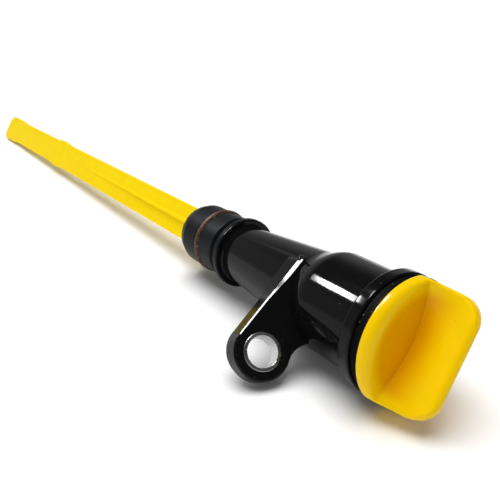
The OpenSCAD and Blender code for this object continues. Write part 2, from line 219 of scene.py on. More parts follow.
class BladeSizes(bpy.types.PropertyGroup):
    """Sizes of the measuring blade."""

    reach: size("Blade", "Length of the blade beyond the nose", 215.0)
    gap: size("Blade gap", "Clearance of the blade in the spigot", 0.7)
    taper: size("Blade taper", "How much narrower the blade is at its tip", 0.9)
    thick: size("Blade thickness", "Thickness of the blade", 2.6)
    tip_out: size("Tip width", "How far the tip stands out on each edge", 0.65)
    tip_len: size("Tip length", "Length of the widened tip", 22.0)
    tip_chamfer: size("Tip chamfer", "Chamfer of the tip's corners", 3.0)
    mark_span: size("Mark span", "Distance between the two marks", 50.0)
    bump_len: size("Bump", "Length of the bump at the upper mark", 15.0)
    bump_out: size("Bump width", "How far the bump stands out", 0.7)
    ramp: size("Ramp", "Length of each ramp of the bump and tip", 6.0)
    rib_h: size("Rib", "Height of the ribs under the cap", 2.6)
    rib_w: size("Rib width", "Width of the ribs under the cap", 4.6)
    rib_start: size("Rib start", "Distance of the ribs' ends above the bump", 12.0)
    edge_r: size("Blade edge", "Radius of the blade's edges", 0.5)
    head_d: size("Head", "Diameter of the swivel head", 9.4)
    head_h: size("Head height", "Height of the swivel head", 3.2)
    stem_d: size("Stem", "Diameter of the stem under the head", 7.2)


class FinishColours(bpy.types.PropertyGroup):
    """Colours of the finishes."""

    black: colour("Black moulding", "Glossy black moulding of the neck", 0.0045, 0.0045, 0.005)
    slate: colour("Spigot", "Satin slate black of the spigot", 0.006, 0.007, 0.0085)
    cap: colour("Cap", "Yellow of the twist cap", 0.87, 0.56, 0.0)
    # Painted shade: a deeper orange laid on the cap's face and at the fin's foot, where shade falls in the crease
    deep: colour("Cap painted shade", "Painted shade of the cap on its face and at the fin's foot", 0.75, 0.34, 0.0)
    blade: colour("Blade", "Yellow of the blade", 0.88, 0.63, 0.0)
    steel: colour("Steel", "Zinc plated steel of the bush", 0.6, 0.6, 0.61)
    brown: colour("O-ring", "Brown rubber of the O-ring", 0.1, 0.038, 0.022)
    rubber: colour("Seal", "Black rubber of the cap's seal", 0.003, 0.003, 0.0035)
    floor: colour("Floor", "Pale floor", 0.97, 0.97, 0.97)


class StageSettings(bpy.types.PropertyGroup):
    """Camera and lamps."""

    camera_at: FloatVectorProperty(
        name="Camera place", description="Where the camera stands", default=(0.24632, -0.11513, 0.10586),
        size=3, subtype="TRANSLATION", unit="LENGTH"
    )
    camera_azimuth: angle("Camera azimuth", "Side from which the camera looks", -36.35)
    camera_elevation: angle("Camera elevation", "Height from which the camera looks", 23.1)
    camera_roll: angle("Camera roll", "Roll of the camera", 2.48)
    lens: FloatProperty(name="Lens", description="Focal length in millimetres", default=50.08, min=1.0)
    sun_power: power("Top light", "Strength of the broad light from above", 2.85)
    streak_power: power("Streak lamp", "Power of the small side lamp in watts", 6.4)
    edge_power: power("Edge lamp", "Power of the lamp above the side lamp in watts", 17.0)
    fill_power: power("Fill lamp", "Power of the front lamp in watts", 1.4)


SETTINGS = {
    "dipstick_neck": NeckSizes,
    "dipstick_ear": EarSizes,
    "dipstick_cap": CapSizes,
    "dipstick_seal": SealSizes,
    "dipstick_blade": BladeSizes,
    "dipstick_finish": FinishColours,
    "dipstick_stage": StageSettings,
}


def settings(name):
    return getattr(bpy.context.scene, "dipstick_" + name)


# Places of the upright pieces in the frame of the packed model

def columns(x_side, y_side, z_side, origin):
    turned = Matrix((x_side, y_side, z_side)).transposed().to_4x4()
    return Matrix.Translation(origin) @ turned


def neck_place():
    """The upright neck: zero at the collar's face, the ear on the +X side."""
    origin = CAP_SEAT - AXIS * settings("neck").cap_seat
    return columns(EAR_SIDE, AXIS.cross(EAR_SIDE), AXIS, origin)


def ear_place():
    """The ear, lying flat: zero at the middle of the bolt hole, the neck on the -X side."""
    return columns(EAR_SIDE, EAR_FACING.cross(EAR_SIDE), EAR_FACING, BOLT_HOLE)


def grip_place():
    """The upright neck, turned so that the fin and the blade lie along X."""
    return neck_place() @ Matrix.Rotation(settings("cap").fin_angle, 4, "Z")


# Mesh making

def bend(start, corner, end, steps):
    """Points of a curve from start to end that leaves and arrives along the lines to corner."""
    shares = [k / steps for k in range(steps + 1)]
    return [start * (1 - s) ** 2 + corner * 2 * s * (1 - s) + end * s * s for s in shares]


def rounded(corners, closed=True, steps=5):
    """Outline through corners (a, b, radius), where each corner with a radius is rounded off."""
    outline = []
    for i, (a, b, radius) in enumerate(corners):
        here = Vector((a, b))
        at_end = not closed and i in (0, len(corners) - 1)
        if radius == 0 or at_end:
            outline.append(here)
            continue
        before = Vector(corners[i - 1][:2]) - here
        after = Vector(corners[(i + 1) % len(corners)][:2]) - here
        reach = radius / math.tan(before.angle(after) / 2)
        reach = min(reach, before.length / 2, after.length / 2)
        outline += bend(here + before.normalized() * reach, here, here + after.normalized() * reach, steps)
    return outline


def swell(low_r, high_r, low_z, high_z):
    """S-shaped step between two radii, level at both ends, as (radius, height, rounding)."""
    steps = 20
    outline = []
    for k in range(steps + 1):
        rise = (1 - math.cos(math.pi * k / steps)) / 2
        outline.append((low_r + (high_r - low_r) * rise, low_z + (high_z - low_z) * k / steps, 0))
    return outline


def skin(bm, rings, loop=False):
    """Faces between rings of vertices that follow each other. A ring of one vertex is a pole."""
    following = list(zip(rings, rings[1:]))
    if loop:
        following.append((rings[-1], rings[0]))
    for low, high in following:
        for k in range(max(len(low), len(high))):
            corners = (low[k % len(low)], low[(k + 1) % len(low)], high[(k + 1) % len(high)], high[k % len(high)])
            bm.faces.new(list(dict.fromkeys(corners)))


def turn_ring(bm, radius, height, steps=ROUND_STEPS):
    if radius < TINY:
        return [bm.verts.new((0, 0, height))]
    turns = [math.tau * k / steps for k in range(steps)]
    return [bm.verts.new((radius * math.cos(a), radius * math.sin(a), height)) for a in turns]


def sector(bm, outline, middle, arc, steps):
    """A piece of a ring: a closed outline of (radius, height), swept over an arc."""
    rings = []
    for k in range(steps + 1):
        a = middle + arc * (k / steps - 0.5)
        rings.append([bm.verts.new((r * math.cos(a), r * math.sin(a), z)) for r, z in outline])
    skin(bm, rings)
    bm.faces.new(rings[0])
    bm.faces.new(rings[-1])


def solid(name, bm):
    """Object from a bmesh, with its faces turned outwards."""
    bmesh.ops.recalc_face_normals(bm, faces=bm.faces)
    mesh = bpy.data.meshes.new(name)
    bm.to_mesh(mesh)
    bm.free()
    made = bpy.data.objects.new(name, mesh)
    bpy.context.scene.collection.objects.link(made)
    return made


def turned_solid(name, outline, steps=ROUND_STEPS):
    """Turns an outline of (radius, height) about the axis. It is closed, or ends on the axis."""
    bm = bmesh.new()
    rings = [turn_ring(bm, radius, height, steps) for radius, height in outline]
    ends_on_axis = len(rings[0]) == 1 and len(rings[-1]) == 1
    skin(bm, rings, loop=not ends_on_axis)
    return solid(name, bm)


def combine(piece, tool, operation):
    """Adds a tool solid to a piece or cuts it away, and deletes the tool."""
    change = piece.modifiers.new("combine", "BOOLEAN")
    change.operation = operation
    change.solver = "MANIFOLD"
    change.object = tool
    bpy.context.view_layer.update()
    changed = bpy.data.meshes.new_from_object(piece.evaluated_get(bpy.context.evaluated_depsgraph_get()))
    if len(changed.polygons) < len(piece.data.polygons) / 4:
        raise RuntimeError(f"{piece.name}: the {operation.lower()} with {tool.name} lost the piece")
    piece.modifiers.clear()
    old = piece.data
    piece.data = changed
    bpy.data.meshes.remove(old)
    bpy.data.objects.remove(tool)


def set_down(piece, place, material, body, node, weighted=True):
    """Places a piece in the frame, shades it, and lets it stand for its CAD node."""
    piece.data.transform(place)
    piece.data.materials.clear()
    piece.data.materials.append(material)
    piece.data.shade_smooth()
    piece.data.set_sharp_from_angle(angle=SHARP_ANGLE)
    if weighted:
        normals = piece.modifiers.new("flat faces", "WEIGHTED_NORMAL")
        normals.keep_sharp = True
    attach(piece, body)
    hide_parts(node)


# Forms

def neck_outline():
    """Outer half section of the neck, from the nose up to the mouth's plane, as (radius, height, rounding)."""
    s = settings("neck")
    land, relief, barrel, rim = s.land_d / 2, s.land_d / 2 - s.relief_in, s.barrel_d / 2, s.rim_d / 2
    ring_z = -s.collar_t - s.ring_pos
    groove = land + s.ring_proud - s.ring_section
    groove_half = s.ring_section / 2 + HAIR
    relief_z = -s.collar_t - s.relief_w
    relief_slope = 0.0008
    barrel_z = s.tube_h + s.shoulder_h
    rim_z = barrel_z + s.barrel_h
    mouth_z = rim_z + s.rim_h
    return [
        (0, -s.nose, 0),
        (s.nose_d / 2, -s.nose, 0.0008),
        (land, s.nose_lead - s.nose, 0.0012),
        (land, ring_z - groove_half, 0.0002),
        (groove, ring_z - groove_half, 0.0002),
        (groove, ring_z + groove_half, 0.0002),
        (land, ring_z + groove_half, 0.0002),
        (land, relief_z - relief_slope, 0.0004),
        (relief, relief_z, 0.0005),
        (relief, -s.collar_t, 0.0004),
        (s.collar_d / 2, -s.collar_t, 0.0006),
        (s.collar_d / 2, 0, 0.0006),
        (s.tube_low_d / 2, 0, 0.0012),
        *swell(s.tube_high_d / 2, barrel, s.tube_h, barrel_z),
        (barrel, rim_z, 0.0006),
        (rim, rim_z, 0.0007),
        (rim, mouth_z, 0.0006),
        (0, mouth_z, 0),
    ]


def bore_outline():
    """Half section of the way through the neck."""
    s = settings("neck")
    mouth = s.mouth_d / 2
    bore = s.spigot_bore / 2
    barrel_z = s.tube_h + s.shoulder_h
    mouth_z = barrel_z + s.barrel_h + s.rim_h
    lead, past = 0.0006, 0.001
    return [
        (0, -s.nose - past, 0),
        (bore + past, -s.nose - past, 0),
        (bore, lead - s.nose, 0.0003),
        (bore, -s.collar_t, 0.001),
        (s.tube_low_d / 2 - s.tube_wall, 0, 0.001),
        *swell(s.tube_high_d / 2 - s.tube_wall, mouth, s.tube_h, barrel_z + past),
        (mouth, mouth_z - lead, 0.0004),
        (mouth + lead, mouth_z, 0),
        (mouth + lead + past, mouth_z + past, 0),
        (0, mouth_z + past, 0),
    ]


def arc_points(centre, radius, start, end, steps):
    turns = [start + (end - start) * k / steps for k in range(steps + 1)]
    return [centre + radius * Vector((math.cos(a), math.sin(a))) for a in turns]


def ear_outline():
    """Flat outline of the ear, counter-clockwise, with the neck's axis on the -X side."""
    e = settings("ear")
    lobe = e.bush_bore / 2 + e.bush_wall + e.lobe_wall
    short = 0.001
    root = short - (BOLT_HOLE - CAP_SEAT).dot(EAR_SIDE)
    hollow = (lobe + e.hollow_r) * Vector((math.cos(e.hollow_at), math.sin(e.hollow_at)))
    tangent = lobe * Vector((math.sin(e.flare), -math.cos(e.flare)))
    foot = Vector((root, tangent.y - (tangent.x - root) * math.tan(e.flare)))
    low_steps, top_steps = 24, 8
    lower_edge = [foot.lerp(tangent, k / low_steps) for k in range(low_steps)]
    round_lobe = arc_points(Vector((0, 0)), lobe, e.flare - math.pi / 2, e.hollow_at, 96)
    round_hollow = arc_points(hollow, e.hollow_r, e.hollow_at - math.pi, -math.pi, 48)
    top = Vector((root, hollow.y))
    upper_edge = [round_hollow[-1].lerp(top, k / top_steps) for k in range(1, top_steps + 1)]
    return lower_edge + round_lobe + round_hollow[1:] + upper_edge


def outward(outline):
    """Unit normals of a closed counter-clockwise outline."""
    count = len(outline)
    along = [outline[(i + 1) % count] - outline[i - 1] for i in range(count)]
    return [Vector((step.y, -step.x)).normalized() for step in along]


# The ear's draft and chamfer: how far a side has to face down to have them, the distances from the bolt
# at which the chamfer starts to widen and over which it does so, and how much it and the draft grow
SIDE_START = 0.25
WIDEN_FROM = 0.008
WIDEN_OVER = 0.012
CHAMFER_GROWTH = 1.7
DRAFT_GROWTH = 1.1


def ear_side(point, normal, out, up):
    """Point of the ear's side, out from its outline and up from its middle plane.

    Along the lower edge the back stands out, and the face's chamfer widens to the root.
    """
    e = settings("ear")
    half = e.thick / 2
    below = Vector((math.sin(e.flare), -math.cos(e.flare)))
    share = max(0.0, (normal.dot(below) - SIDE_START) / (1 - SIDE_START))
    root = share * smooth_step((-point.x - WIDEN_FROM) / WIDEN_OVER)
    wider = 1 + CHAMFER_GROWTH * root
    if up > 0:
        out *= wider
        up = half - (half - up) * wider
    chamfer = e.edge_r * wider
    depth = max(0.0, half - chamfer - up) / (e.thick - chamfer)
    out += e.draft * share * (1 + DRAFT_GROWTH * root) * depth
    return (*(point + normal * out), up)


def ear_solid():
    """The ear with its chamfered face, rounded back, drafted sides and bolt hole."""
    e = settings("ear")
    half = e.thick / 2
    outline = ear_outline()
    normals = outward(outline)
    edge = rounded([
        (-2 * e.edge_r, -half, 0),
        (0, -half, e.edge_r),
        (0, half - e.edge_r, 0.0002),
        (-e.edge_r, half, 0.0002),
        (-2 * e.edge_r, half, 0),
    ], closed=False, steps=5)[1:-1]
    hole_r = e.bush_bore / 2 + e.bush_wall
    inside = -0.001
    hole_edge = rounded([
        (inside, -half, 0),
        (0, -half, 0.0003),
        (0, half, 0.0003),
        (inside, half, 0),
    ], closed=False, steps=3)[1:-1]
    bm = bmesh.new()
    sides = []
    for out, up in edge:
        ring = [ear_side(point, normal, out, up) for point, normal in zip(outline, normals)]
        sides.append([bm.verts.new(place) for place in ring])
    holes = [turn_ring(bm, hole_r - out, up, 96) for out, up in hole_edge]
    skin(bm, sides)
    skin(bm, holes)
    for k in (0, -1):
        border = []
        for ring in (sides[k], holes[k]):
            border += [bm.edges.get(pair) for pair in zip(ring, ring[1:] + ring[:1])]
        bmesh.ops.triangle_fill(bm, use_beauty=True, edges=border)
    bm.transform(neck_place().inverted() @ ear_place())
    return solid("ear", bm)


def lug_solids():
    """The neck's two bayonet lugs, each with the stop that the cap's lug meets."""
    s = settings("neck")
    grip = settings("cap").fin_angle
    mouth = s.mouth_d / 2
    sunk = mouth + 0.0008
    lug_r = mouth - s.lug_in
    stop_r = mouth - 0.0012
    edge = 0.0003
    top = s.tube_h + s.shoulder_h + s.barrel_h + s.rim_h - s.lug_depth
    low = top - s.lug_h
    stop_low, stop_top = low - s.lug_h, low + HAIR
    lug = rounded([(lug_r, low, edge), (sunk, low, 0), (sunk, top, 0), (lug_r, top, edge)], steps=3)
    stop = rounded([
        (stop_r, stop_low, edge),
        (sunk, stop_low, 0),
        (sunk, stop_top, 0),
        (stop_r, stop_top, 0),
    ], steps=3)
    turn = math.pi / 2
    stop_gap = math.radians(1)
    stop_turn = turn + s.cap_lug_arc / 2 + stop_gap + s.stop_arc / 2
    made = []
    for side in (0, math.pi):
        for name, outline, back, arc, steps in (
            ("lug", lug, turn, s.lug_arc, 40),
            ("stop", stop, stop_turn, s.stop_arc, 4),
        ):
            bm = bmesh.new()
            sector(bm, outline, grip + side - back, arc, steps)
            made.append(solid(name, bm))
    return made


def smooth_step(x):
    x = min(1.0, max(0.0, x))
    return x * x * (3 - 2 * x)


def ball(x):
    """Height of a unit ball at a distance from its middle."""
    return math.sqrt(max(0.0, 1 - x * x))


# Columns round a quarter of the cap: on its flat end, on the corner, and on its side
END_STEPS = 10
CORNER_STEPS = 8
SIDE_STEPS = ROUND_STEPS // 4 - END_STEPS - CORNER_STEPS


def quarter(column):
    """Place of a column in its quarter, counted from the flat end, and the quarter's two signs."""
    half_turn = ROUND_STEPS // 2
    place = column % half_turn
    place = min(place, half_turn - place)
    along = 1 if column < half_turn / 2 or column > 1.5 * half_turn else -1
    return place, along, 1 if column < half_turn else -1


def cap_edge(cap, column, radius):
    """Point of the cap's round edge with its two flats, drawn in to a radius."""
    place, along, across = quarter(column)
    wide = cap.width / 2
    flat = wide - cap.flats
    turn = math.acos(flat / wide)
    chord = wide * math.sin(turn)
    start = Vector((flat, chord - cap.flat_edge))
    low = turn + cap.flat_edge / wide
    if place <= END_STEPS:
        point = Vector((flat, start.y * place / END_STEPS))
    elif place <= END_STEPS + CORNER_STEPS:
        end = wide * Vector((math.cos(low), math.sin(low)))
        point = bend(start, Vector((flat, chord)), end, CORNER_STEPS)[place - END_STEPS]
    else:
        share = (place - END_STEPS - CORNER_STEPS) / SIDE_STEPS
        a = low + (math.pi / 2 - low) * share
        point = wide * Vector((math.cos(a), math.sin(a)))
    point *= radius / wide
    return Vector((point.x * along, point.y * across))


def fin_point(cap, height, column):
    """Point of the fin's hourglass section at a height above the face."""
    place, along, across = quarter(column)
    tip_half = cap.fin_tip_t / 2
    rise = min(1.0, height / cap.fin_h)
    crown = ball(max(0.0, (height - cap.fin_h + tip_half) / tip_half))
    corner = cap.fin_corner * (1 - ball(max(0.0, (height - cap.fin_h + cap.fin_corner) / cap.fin_corner)))
    half = cap.width / 2 - cap.flats - cap.fin_draft * rise - corner
    end = tip_half + (cap.fin_foot_t / 2 - tip_half) * (1 - rise) ** 2

    def body(x):
        return (tip_half + (end - tip_half) * (x / half) ** 2) * crown

    edge = min(cap.fin_edge, body(half))
    if place <= END_STEPS:
        point = Vector((half, (body(half) - edge) * place / END_STEPS))
    elif place <= END_STEPS + CORNER_STEPS:
        a = math.pi / 2 * (place - END_STEPS) / CORNER_STEPS
        x = half - edge * (1 - math.cos(a))
        point = Vector((x, body(x) - edge * (1 - math.sin(a))))
    else:
        x = (half - edge) * math.cos(math.pi / 2 * (place - END_STEPS - CORNER_STEPS) / SIDE_STEPS)
        point = Vector((x, body(x)))
    return Vector((point.x * along, point.y * across))


def cap_profile(cap, seat, column):
    """Points in one column of the cap, from its edge over the shoulder and face up the fin."""
    face = seat + cap.edge_h
    out = cap_edge(cap, column, cap.width / 2).to_3d()
    foot = fin_point(cap, 0, column).to_3d()
    span = (foot - out).length
    room = cap.shoulder_in + cap.foot_r
    # Where the fin's foot comes near the edge, the shoulder's corner sinks and the foot's corner rises
    near = max(0.0, 1 - span / room) ** 2
    sink, lift = 0.75 * near, 0.6 * near
    up = Vector((0, 0, 1))
    shoulder = out + up * (face - sink * cap.shoulder_r)
    toe = foot + up * (face + lift * cap.foot_r)
    share = min(1.0, span / room)
    towards = toe - shoulder
    length = max(towards.length, TINY)
    under_half = 0.499
    first = shoulder + towards * min(under_half, cap.shoulder_in * share / length)
    last = toe - towards * min(under_half, cap.foot_r * share / length)
    wall = fin_point(cap, cap.foot_r, column).to_3d() + up * (face + cap.foot_r)
    edge_steps, face_steps, foot_steps, rises = 10, 10, 8, 34
    points = bend(out + up * (face - cap.shoulder_r), shoulder, first, edge_steps)
    points += [first.lerp(last, k / face_steps) for k in range(1, face_steps)]
    points += bend(last, toe, wall, foot_steps)
    for k in range(1, rises + 1):
        height = cap.foot_r + (cap.fin_h - cap.foot_r) * math.sin(math.pi / 2 * k / rises)
        points.append(fin_point(cap, height, column).to_3d() + up * (face + height))
    return points


def cap_underside(cap, seat):
    """Half section of the cap's underside, from the edge in to the socket's top, and the box of its lugs."""
    neck = settings("neck")
    blade = settings("blade")
    mouth_z = neck.tube_h + neck.shoulder_h + neck.barrel_h + neck.rim_h
    mouth = neck.mouth_d / 2
    plug = mouth - cap.run_gap
    skirt = mouth - neck.lug_in - cap.run_gap
    plug_low = mouth_z - neck.lug_depth + cap.lug_gap
    lug_top = mouth_z - neck.lug_depth - neck.lug_h - cap.lug_gap
    skirt_low = lug_top - neck.lug_h + 2 * cap.lug_gap - cap.skirt_end
    socket = blade.head_d / 2 + HAIR
    stem_hole = blade.stem_d / 2 + HAIR
    hub = socket + cap.hub_wall
    lip = seat - cap.hub_h
    inner = skirt - cap.skirt_wall
    outline = rounded([
        (cap.width / 2, seat + cap.edge_h - cap.shoulder_r, 0),
        (cap.width / 2, seat, 0.0004),
        (plug, seat, 0.0003),
        (plug, plug_low, 0.0005),
        (skirt, plug_low, 0.0003),
        (skirt, skirt_low, 0.0005),
        (inner, skirt_low, 0.0003),
        (inner, seat, 0.0006),
        (hub, seat, 0.0006),
        (hub, lip, 0.0005),
        (stem_hole, lip, 0.0002),
        (stem_hole, lip + cap.lip_h, 0.0002),
        (socket, lip + cap.lip_h, 0.0002),
        (socket, seat, 0.0003),
        (0, seat, 0),
    ], closed=False, steps=4)
    lug = (plug, skirt, lug_top, skirt_low + cap.skirt_end)
    return outline, lug


def cap_solid():
    """The twist cap in one skin: fin, face and shoulder above, plug, skirt and hub below, and its two lugs."""
    cap = settings("cap")
    neck = settings("neck")
    seat = neck.cap_seat
    bm = bmesh.new()
    profiles = [cap_profile(cap, seat, column) for column in range(ROUND_STEPS)]
    rings = [[bm.verts.new(profile[row]) for profile in profiles] for row in range(len(profiles[0]))]
    outline, (plug, skirt, lug_top, lug_low) = cap_underside(cap, seat)
    past_plug = plug + 0.001
    below = []
    for radius, height in outline[1:]:
        if radius > past_plug:
            points = [cap_edge(cap, column, radius) for column in range(ROUND_STEPS)]
            below.append([bm.verts.new((point.x, point.y, height)) for point in points])
        else:
            below.append(turn_ring(bm, radius, height))
    skin(bm, below[::-1] + rings)
    crown = rings[-1]
    for k in range(ROUND_STEPS // 2):
        corners = [crown[k], crown[k + 1], crown[(-k - 1) % ROUND_STEPS], crown[-k]]
        bm.faces.new(list(dict.fromkeys(corners)))
    bmesh.ops.remove_doubles(bm, verts=bm.verts, dist=WELD)
    bmesh.ops.dissolve_degenerate(bm, edges=bm.edges, dist=WELD)
    cap_piece = solid("twist_cap_skin", bm)
    sunk = skirt - 0.0006
    lug = rounded([
        (sunk, lug_low, 0),
        (plug, lug_low, 0.0003),
        (plug, lug_top, 0.0003),
        (sunk, lug_top, 0),
    ], steps=3)
    for side in (0, math.pi):
        bm = bmesh.new()
        sector(bm, lug, side, neck.cap_lug_arc, 28)
        combine(cap_piece, solid("cap_lug", bm), "UNION")
    return cap_piece


def blade_section(half, thick, edge_r, rib_half, crest_half, rib_h):
    """Closed section of the blade: two flat faces with a rib on each and rounded edges."""
    upper = [
        (half, thick, edge_r),
        (rib_half + HAIR, thick, 0),
        (rib_half, thick + 0.02 * rib_h, 0),
        (crest_half, thick + 0.94 * rib_h, 0),
        (crest_half * 0.5, thick + rib_h, 0),
    ]
    upper += [(-a, b, r) for a, b, r in reversed(upper)]
    lower = [(-a, -b, r) for a, b, r in upper]
    return rounded(upper + lower, steps=6)


def blade_heights(end_z, tip_chamfer, high_z, top_z):
    """Heights of the blade's sections: close at its two ends and along the marks, wider between."""
    heights = [end_z, end_z + 0.0002, end_z + 0.0005]
    heights += [end_z + tip_chamfer * k / 6 for k in range(2, 7)]
    heights += [end_z + tip_chamfer + 0.001 * k for k in range(1, 80)]
    marks_z = heights[-1]
    heights += [marks_z + (high_z - marks_z) * k / 60 for k in range(1, 61)]
    heights += [high_z + (top_z - high_z) * k / 5 for k in range(1, 6)]
    return heights


def blade_solid():
    """The measuring blade with its ribs, bump, widened tip and swivel head."""
    neck = settings("neck")
    cap = settings("cap")
    b = settings("blade")
    nose_z = -neck.nose
    end_z = nose_z - b.reach
    mark_z = end_z + b.tip_len
    bump_z = mark_z + b.mark_span
    rib_z = bump_z + b.bump_len + b.rib_start
    lip_z = neck.cap_seat - cap.hub_h
    # The blade draws in under the cap's hub, first with a step and then with a slope
    top_h, top_step, top_slope = 0.003, 0.0006, 1.3
    top_z = lip_z - top_h
    slope_z = top_z - top_h / 2
    wide = neck.spigot_bore / 2 - b.gap
    low_wide = wide - b.taper / 2

    def half_width(z):
        along = min(1.0, (z - mark_z) / (nose_z - mark_z))
        base = low_wide + (wide - low_wide) * max(0.0, along)
        bump = smooth_step((z - bump_z) / b.ramp) * smooth_step((bump_z + b.bump_len - z) / b.ramp)
        tip = smooth_step((mark_z - z) / b.ramp)
        chamfer = max(0.0, end_z + b.tip_chamfer - z)
        step = top_step * smooth_step((z - top_z + top_h) / (top_h / 2))
        slope = max(0.0, z - slope_z) * top_slope
        return base + bump * b.bump_out + tip * b.tip_out - chamfer - step - slope

    # The tip's end is rounded over a length, and thinner there by a depth on each face
    end_h, end_in = 0.0006, 0.0004
    rib_low, rib_high, crest = 0.1 * b.rib_w, 0.37 * b.rib_w, 0.0003
    least_rib = 1e-5
    bm = bmesh.new()
    rings = []
    for z in blade_heights(end_z, b.tip_chamfer, top_z - top_h, top_z):
        rise = max(0.0, min(1.0, (z - rib_z) / (slope_z - rib_z)))
        end_round = min(1.0, max(0.0, (z - end_z) / end_h))
        thick = b.thick / 2 - end_in * (1 - ball(1 - end_round))
        rib_half = rib_low + (rib_high - rib_low) * rise
        rib_h = b.rib_h * rise + least_rib
        section = blade_section(half_width(z), thick, b.edge_r, rib_half, crest * (1 + rise), rib_h)
        rings.append([bm.verts.new((x, y, z)) for x, y in section])
    skin(bm, rings)
    bm.faces.new(rings[0])
    bm.faces.new(rings[-1])
    made = solid("dipstick_blade_skin", bm)
    stem, head_r = b.stem_d / 2, b.head_d / 2
    head_low = lip_z + cap.lip_h + cap.run_gap
    head_top = head_low + b.head_h - cap.run_gap
    edge, lead, sunk = 0.0003, 0.001, 0.002
    head = rounded([
        (0, top_z - sunk, 0),
        (stem - lead, top_z - sunk, 0),
        (stem, top_z, edge),
        (stem, head_low, edge),
        (head_r, head_low, edge),
        (head_r, head_top + cap.run_gap - lead, edge),
        (head_r - lead, head_top, edge),
        (0, head_top, 0),
    ], closed=False, steps=3)
    combine(made, turned_solid("head", head, 96), "UNION")
    return made


# Shader nodes

def add(tree, kind, values=None, **attributes):
    """Node of a kind, with attributes set and its inputs filled with values or links."""
    node = tree.nodes.new(kind)
    for key, value in attributes.items():
        setattr(node, key, value)
    for key, value in (values or {}).items():
        if isinstance(value, bpy.types.NodeSocket):
            tree.links.new(value, node.inputs[key])
        else:
            node.inputs[key].default_value = value
    return node


def reckon(tree, operation, *values):
    """Result of a math operation on values or links."""
    return add(tree, "ShaderNodeMath", dict(enumerate(values)), operation=operation).outputs[0]


def ramp(tree, value, low, high, start=0.0, end=1.0, kind="LINEAR"):
    """Goes from start to end while a value goes from low to high."""
    places = {0: value, 1: low, 2: high, 3: start, 4: end}
    return add(tree, "ShaderNodeMapRange", places, interpolation_type=kind).outputs[0]


def noise(tree, where, scale, detail):
    return add(tree, "ShaderNodeTexNoise", {"Vector": where, "Scale": scale, "Detail": detail}).outputs["Fac"]


def surface_place(tree):
    """Place on the surface, in metres from the frame's origin."""
    return add(tree, "ShaderNodeTexCoord").outputs["Object"]


def offset_along(tree, origin, axis):
    """Offset of the surface from an origin, and how far that reaches along an axis."""
    ends = {0: surface_place(tree), 1: tuple(origin)}
    offset = add(tree, "ShaderNodeVectorMath", ends, operation="SUBTRACT").outputs[0]
    along = add(tree, "ShaderNodeVectorMath", {0: offset, 1: tuple(axis)}, operation="DOT_PRODUCT")
    return offset, along.outputs["Value"]


def mix_colours(tree, mask, first, second):
    """Colour that goes from the first to the second as the mask rises."""
    node = add(tree, "ShaderNodeMix", {0: mask}, data_type="RGBA")
    for index, value in ((6, first), (7, second)):
        if isinstance(value, bpy.types.NodeSocket):
            tree.links.new(value, node.inputs[index])
        else:
            node.inputs[index].default_value = (*value, 1)
    return node.outputs[2]


def scaled(tint, share):
    return tuple(channel * share for channel in tint)


# Shared effects

def new_group(name, inputs, outputs):
    """Node group with named sockets for numbers, the inputs given with their defaults."""
    group = bpy.data.node_groups.new(name, "ShaderNodeTree")
    for label, default in inputs.items():
        socket = group.interface.new_socket(label, in_out="INPUT", socket_type="NodeSocketFloat")
        socket.default_value = default
    for label in outputs:
        group.interface.new_socket(label, in_out="OUTPUT", socket_type="NodeSocketFloat")
    return group, group.nodes.new("NodeGroupInput").outputs, group.nodes.new("NodeGroupOutput").inputs


def moulded_skin():
    """Skin of a moulding: slow waviness, fine grain, and a mask of faint mottling."""
    inputs = {"Wave Size": 220.0, "Grain Size": 2600.0, "Grain Share": 0.25}
    group, given, result = new_group("moulded_skin", inputs, ["Height", "Mottle"])
    where = surface_place(group)
    wave = noise(group, where, given["Wave Size"], 2.0)
    grain = noise(group, where, given["Grain Size"], 3.0)
    height = add(group, "ShaderNodeMix", {0: given["Grain Share"], 2: wave, 3: grain})
    group.links.new(height.outputs[0], result["Height"])
    group.links.new(ramp(group, wave, 0.35, 0.65), result["Mottle"])
    return group


def dust_and_glint_specks():
    """Mask of sparse specks that lie in clusters: specks of dirt, and where there are many, painted glints."""
    group, given, result = new_group("dust_and_glint_specks", {"Speck Size": 900.0, "Amount": 0.1}, ["Mask"])
    where = surface_place(group)
    cells = add(group, "ShaderNodeTexVoronoi", {"Vector": where, "Scale": given["Speck Size"]})
    speck = ramp(group, cells.outputs["Distance"], 0.22, 0.12)
    cluster = ramp(group, noise(group, where, 130.0, 2.0), 0.45, 0.6)
    chance = add(group, "ShaderNodeSeparateColor", {0: cells.outputs["Color"]}).outputs[0]
    kept = reckon(group, "GREATER_THAN", chance, reckon(group, "SUBTRACT", 1.0, given["Amount"]))
    mask = reckon(group, "MULTIPLY", reckon(group, "MULTIPLY", speck, kept), cluster)
    group.links.new(mask, result["Mask"])
    return group


def place_group(tree, make, values):
    """A node group that a function makes, made once and placed in a material with its own values."""
    node = tree.nodes.new("ShaderNodeGroup")
    node.node_tree = bpy.data.node_groups.get(make.__name__) or make()
    for key, value in values.items():
        node.inputs[key].default_value = value
    return node.outputs


# Materials

def new_material(name):
    made = bpy.data.materials.new(name)
    made.use_nodes = True
    return made, made.node_tree, made.node_tree.nodes["Principled BSDF"].inputs


def finish_surface(tree, shader, base, rough, height, strength, distance=0.0001):
    """Feeds a material's colour, roughness and bump into its shader."""
    tree.links.new(base, shader["Base Color"])
    tree.links.new(rough, shader["Roughness"])
    bump = add(tree, "ShaderNodeBump", {"Height": height, "Strength": strength, "Distance": distance})
    tree.links.new(bump.outputs[0], shader["Normal"])


